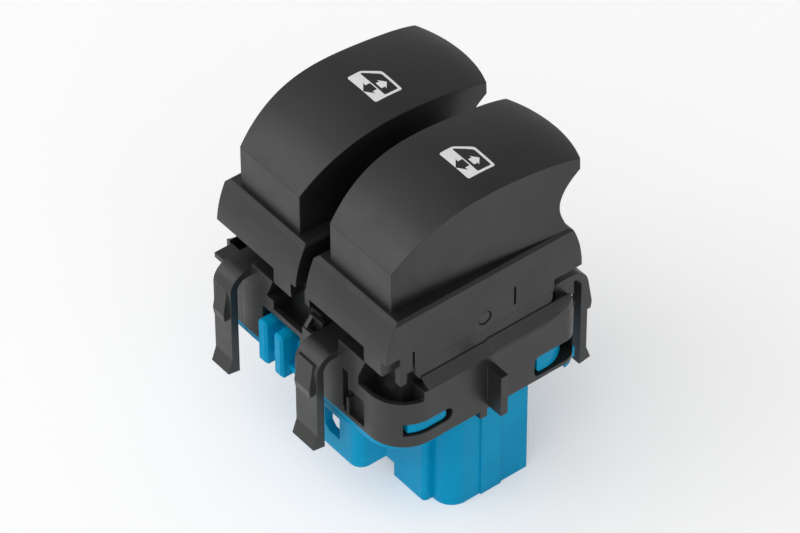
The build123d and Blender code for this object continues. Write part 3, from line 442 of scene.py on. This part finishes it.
for rocker_side, half_turn in (("left", -1), ("right", 1)):
    carrier_surface = surface_of(f"rocker_carrier_{rocker_side}")
    outside = (half_turn * FAR, half_turn * PROBE_Y, SKIRT_Z)
    skirt_face = abs(reach(carrier_surface, outside, (-half_turn, 0, 0)).x)
    below = (half_turn * (skirt_face - EDGE_IN), half_turn * PROBE_Y, 0)
    foot = reach(carrier_surface, below, (0, 0, 1)).z
    make_apron(rocker_side, half_turn, skirt_face)
    make_skirt_steps(rocker_side, half_turn, skirt_face, foot)


def make_base():
    """The blue base with a short heel at its rear right corner."""
    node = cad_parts["connector_base"]
    mesh = node.data.copy()
    for vertex in mesh.vertices:
        place = vertex.co / MM
        in_heel = HEEL_X[0] < place.x < HEEL_X[1] and HEEL_Y[0] < place.y < HEEL_Y[1]
        if in_heel and place.z < FLANGE_FOOT + TOUCH:
            vertex.co.y = max(place.y, HEEL_FRONT) * MM
            vertex.co.z = max(place.z, HEEL_FOOT) * MM
    base = bpy.data.objects.new("connector_base_short_heel", mesh)
    bpy.context.scene.collection.objects.link(base)
    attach(base, "housing")
    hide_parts("connector_base")


make_base()


def make_pressed_spring(side):
    """The CAD spring again, as a piece of its own that its rocker carries."""
    node = f"plunger_spring_{side}"
    spring = bpy.data.objects.new(f"pressed_spring_{side}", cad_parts[node].data.copy())
    bpy.context.scene.collection.objects.link(spring)
    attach(spring, f"rocker_{side}")
    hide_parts(node)
    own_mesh(spring)


for rocker_side in SIDES:
    make_pressed_spring(rocker_side)


# ---------------------------------------------------------------- window signs
# Plan of one sign, in millimetres from the rocker's centre line and the rocker axis
SIGN_LEFT, SIGN_RIGHT = -2.5, 4.8
SIGN_FRONT, SIGN_REAR = 0.85, 6.25
SIGN_SLOPE_X, SIGN_SLOPE_Y = 2.1, 2.7      # sloped corner of the window
SIGN_STROKE = 0.48
SIGN_BELT = 3.1                            # top of the door panel
SIGN_CORNER = 0.45
WINDOW_LEAN = 0.2                          # front left corner of the window, to the right
WINDOW_DROP = 0.2                          # foot of its slope, below the outline's
WINDOW_CORNER = 0.3
ARROW_CORNER = 0.08
ARROW_BARB = 0.12
DOWN_ARROW = {
    "x": 1.68,
    "tip_y": 0.85,
    "direction": -1,
    "head_half": 1.58,
    "head_depth": 1.25,
    "stem_half": 0.9,
    "stem_depth": 0.8,
}
UP_ARROW = {
    "x": 2.1,
    "tip_y": 5.25,
    "direction": 1,
    "head_half": 1.22,
    "head_depth": 1.05,
    "stem_half": 0.74,
    "stem_depth": 0.62,
}
MOST_CUT = 0.45                            # share of a side that one rounding may take
SIGN_LIFT = 0.03 * MM                      # print above the moulded surface
SIGN_DROP = 1.0                            # metres, from where it is dropped on the cap
SIGN_CELL = 0.3 * MM


def rounded(points, radius, steps=5):
    """The polygon with each corner rounded by an arc-like curve."""
    out = []
    for i, corner in enumerate(points):
        here = Vector(corner)
        before = Vector(points[i - 1]) - here
        after = Vector(points[(i + 1) % len(points)]) - here
        cut = min(radius, before.length * MOST_CUT, after.length * MOST_CUT)
        start = here + before.normalized() * cut
        end = here + after.normalized() * cut
        for k in range(steps + 1):
            t = k / steps
            out.append(start * (1 - t) ** 2 + here * 2 * t * (1 - t) + end * t**2)
    return out


def arrow(x, tip_y, direction, head_half, head_depth, stem_half, stem_depth):
    """A short arrow in plan; direction is +1 to the rear and -1 to the front."""
    neck = tip_y - direction * head_depth
    foot = neck - direction * stem_depth
    barb = neck + direction * ARROW_BARB
    return [
        (x, tip_y),
        (x + head_half, neck),
        (x + stem_half, barb),
        (x + stem_half, foot),
        (x - stem_half, foot),
        (x - stem_half, barb),
        (x - head_half, neck),
    ]


def sign_outlines():
    """Outer outline, window opening and the two arrows of one sign."""
    outer = [
        (SIGN_LEFT, SIGN_FRONT),
        (SIGN_RIGHT, SIGN_FRONT),
        (SIGN_RIGHT, SIGN_REAR),
        (SIGN_LEFT + SIGN_SLOPE_X, SIGN_REAR),
        (SIGN_LEFT, SIGN_REAR - SIGN_SLOPE_Y),
    ]
    inner_left = SIGN_LEFT + SIGN_STROKE
    inner_rear = SIGN_REAR - SIGN_STROKE
    slope = SIGN_SLOPE_Y / SIGN_SLOPE_X
    slope_foot = SIGN_REAR - SIGN_SLOPE_Y - WINDOW_DROP
    window = [
        (inner_left + WINDOW_LEAN, SIGN_BELT),
        (SIGN_RIGHT - SIGN_STROKE, SIGN_BELT),
        (SIGN_RIGHT - SIGN_STROKE, inner_rear),
        (inner_left + WINDOW_LEAN + (inner_rear - slope_foot) / slope, inner_rear),
        (inner_left, slope_foot),
    ]
    return [
        rounded(outer, SIGN_CORNER),
        rounded(window, WINDOW_CORNER, 3),
        rounded(arrow(**DOWN_ARROW), ARROW_CORNER, 2),
        rounded(arrow(**UP_ARROW), ARROW_CORNER, 2),
    ]


def flat_mesh(name, outlines, centre_x):
    """A filled flat mesh from nested outlines, split into small cells."""
    curve = bpy.data.curves.new(name, "CURVE")
    curve.dimensions = "2D"
    curve.fill_mode = "BOTH"
    for outline in outlines:
        spline = curve.splines.new("POLY")
        spline.points.add(len(outline) - 1)
        for point, place in zip(spline.points, outline):
            point.co = (place[0] * MM + centre_x, place[1] * MM, 0.0, 1.0)
        spline.use_cyclic_u = True
    holder = bpy.data.objects.new(name, curve)
    bpy.context.scene.collection.objects.link(holder)
    bpy.context.view_layer.update()
    mesh = bpy.data.meshes.new_from_object(holder.evaluated_get(bpy.context.evaluated_depsgraph_get()))
    bpy.data.objects.remove(holder)
    shape = bmesh.new()
    shape.from_mesh(mesh)
    low = Vector((min(v.co.x for v in shape.verts), min(v.co.y for v in shape.verts), 0))
    high = Vector((max(v.co.x for v in shape.verts), max(v.co.y for v in shape.verts), 0))
    for axis in (0, 1):
        normal = Vector((1, 0, 0)) if axis == 0 else Vector((0, 1, 0))
        for k in range(1, int((high[axis] - low[axis]) / SIGN_CELL) + 1):
            place = low + normal * SIGN_CELL * k
            geometry = shape.verts[:] + shape.edges[:] + shape.faces[:]
            bmesh.ops.bisect_plane(shape, geom=geometry, plane_co=place, plane_no=normal)
    shape.to_mesh(mesh)
    shape.free()
    return mesh


def make_sign(side):
    """One printed sign, laid on the top of its cap."""
    low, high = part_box(f"rocker_cap_{side}")
    centre_x = (low.x + high.x) / 2
    mesh = flat_mesh(f"window_sign_{side}", sign_outlines(), centre_x)
    surface = surface_of(f"rocker_cap_{side}")
    above = high.z + SIGN_DROP
    for vertex in mesh.vertices:
        hit = surface.ray_cast(Vector((vertex.co.x, vertex.co.y, above)), DOWN)[0]
        vertex.co = hit + Vector((0, 0, SIGN_LIFT))
    mesh.materials.clear()
    mesh.materials.append(materials["print"])
    for polygon in mesh.polygons:
        polygon.use_smooth = True
    sign = bpy.data.objects.new(f"window_sign_{side}", mesh)
    bpy.context.scene.collection.objects.link(sign)
    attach(sign, f"rocker_{side}")


for rocker_side in SIDES:
    make_sign(rocker_side)


# ---------------------------------------------------------------- stage, light, camera
FLOOR_SIZE = 6.0
FLOOR_GLOW = 0.25
LIGHT_LEVEL = 0.8                          # of the world, for light that spreads
FADE_START, FADE_END = -0.3, 0.4           # the world darkens to the rear
FADE_FRONT, FADE_REAR = 1.1, 0.45


def seen_directly(nodes, links):
    """1 for rays from the camera, off gloss or through glass, and 0 for light that spreads."""
    path = nodes.new("ShaderNodeLightPath")
    total = path.outputs["Is Camera Ray"]
    for kind in ("Is Glossy Ray", "Is Transmission Ray"):
        either = nodes.new("ShaderNodeMath")
        either.operation = "MAXIMUM"
        links.new(total, either.inputs[0])
        links.new(path.outputs[kind], either.inputs[1])
        total = either.outputs["Value"]
    return total


def backdrop_material():
    """Pale to the light that falls on it, and near white where the camera or a reflection sees it."""
    material, shader = new_material("backdrop_white", (0.86, 0.86, 0.86), 0.9)
    nodes, links = material.node_tree.nodes, material.node_tree.links
    output = nodes["Material Output"]
    glow = nodes.new("ShaderNodeEmission")
    glow.inputs["Color"].default_value = (1.0, 1.0, 1.0, 1.0)
    glow.inputs["Strength"].default_value = FLOOR_GLOW
    both = nodes.new("ShaderNodeAddShader")
    pick = nodes.new("ShaderNodeMixShader")
    seen = seen_directly(nodes, links)
    links.new(shader.outputs["BSDF"], both.inputs[0])
    links.new(glow.outputs["Emission"], both.inputs[1])
    links.new(seen, pick.inputs["Fac"])
    links.new(shader.outputs["BSDF"], pick.inputs[1])
    links.new(both.outputs["Shader"], pick.inputs[2])
    links.new(pick.outputs["Shader"], output.inputs["Surface"])
    return material


def make_floor():
    """A pale floor under the part, far past the picture's edges."""
    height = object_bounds()[0][2]
    mesh = bpy.data.meshes.new("floor")
    corners = [(x * FLOOR_SIZE, y * FLOOR_SIZE, height) for x, y in ((-1, -1), (1, -1), (1, 1), (-1, 1))]
    mesh.from_pydata(corners, [], [(0, 1, 2, 3)])
    mesh.materials.append(backdrop_material())
    floor = bpy.data.objects.new("floor", mesh)
    bpy.context.scene.collection.objects.link(floor)


def make_world():
    """White where the camera sees it; as a light it darkens to the rear."""
    world = bpy.data.worlds.new("studio")
    world.use_nodes = True
    nodes, links = world.node_tree.nodes, world.node_tree.links
    background = nodes["Background"]
    background.inputs["Color"].default_value = (1.0, 1.0, 1.0, 1.0)
    strength = nodes.new("ShaderNodeMapRange")
    strength.inputs["To Min"].default_value = LIGHT_LEVEL
    strength.inputs["To Max"].default_value = 1.0
    links.new(seen_directly(nodes, links), strength.inputs["Value"])
    coords = nodes.new("ShaderNodeTexCoord")
    axes = nodes.new("ShaderNodeSeparateXYZ")
    links.new(coords.outputs["Generated"], axes.inputs["Vector"])
    fade = nodes.new("ShaderNodeMapRange")
    fade.inputs["From Min"].default_value = FADE_START
    fade.inputs["From Max"].default_value = FADE_END
    fade.inputs["To Min"].default_value = FADE_FRONT
    fade.inputs["To Max"].default_value = FADE_REAR
    links.new(axes.outputs["Y"], fade.inputs["Value"])
    path = nodes.new("ShaderNodeLightPath")
    level = nodes.new("ShaderNodeMath")
    level.operation = "MAXIMUM"
    links.new(fade.outputs["Result"], level.inputs[0])
    links.new(path.outputs["Is Camera Ray"], level.inputs[1])
    product = nodes.new("ShaderNodeMath")
    product.operation = "MULTIPLY"
    links.new(strength.outputs["Result"], product.inputs[0])
    links.new(level.outputs["Value"], product.inputs[1])
    links.new(product.outputs["Value"], background.inputs["Strength"])
    bpy.context.scene.world = world


def area_light(name, place, aim, size, power):
    """A soft lamp that faces a point."""
    light = bpy.data.lights.new(name, "AREA")
    light.shape = "RECTANGLE"
    light.size, light.size_y = size
    light.energy = power
    lamp = bpy.data.objects.new(name, light)
    lamp.location = place
    lamp.rotation_euler = (Vector(aim) - Vector(place)).to_track_quat("-Z", "Y").to_euler()
    bpy.context.scene.collection.objects.link(lamp)


CENTRE = (Vector(cad_box[0]) + Vector(cad_box[1])) / 2
area_light("key_front", (-0.45, -0.75, 0.55), CENTRE, (0.7, 0.7), 2.0)
area_light("top_soft", (0.25, -0.45, 0.85), CENTRE, (0.9, 0.9), 1.6)
area_light("side_fill", (0.9, -0.1, 0.35), CENTRE, (0.8, 0.8), 0.6)

make_world()
make_floor()

EYE = Vector((0.45081, -0.35710, 0.54220))
AIM = Vector((0.0054, -0.0040, 0.0141))
ROLL = math.radians(-0.23)
LENS = 221.3
SENSOR = 36.0
camera_data = bpy.data.cameras.new("camera")
camera_data.lens = LENS
camera_data.sensor_width = SENSOR
camera = bpy.data.objects.new("camera", camera_data)
facing = (AIM - EYE).to_track_quat("-Z", "Y").to_matrix()
roll = Matrix.Rotation(ROLL, 3, "Z")
camera.matrix_world = Matrix.Translation(EYE) @ (facing @ roll).to_4x4()
bpy.context.scene.collection.objects.link(camera)
bpy.context.scene.camera = camera
bpy.context.scene.view_settings.view_transform = "Standard"
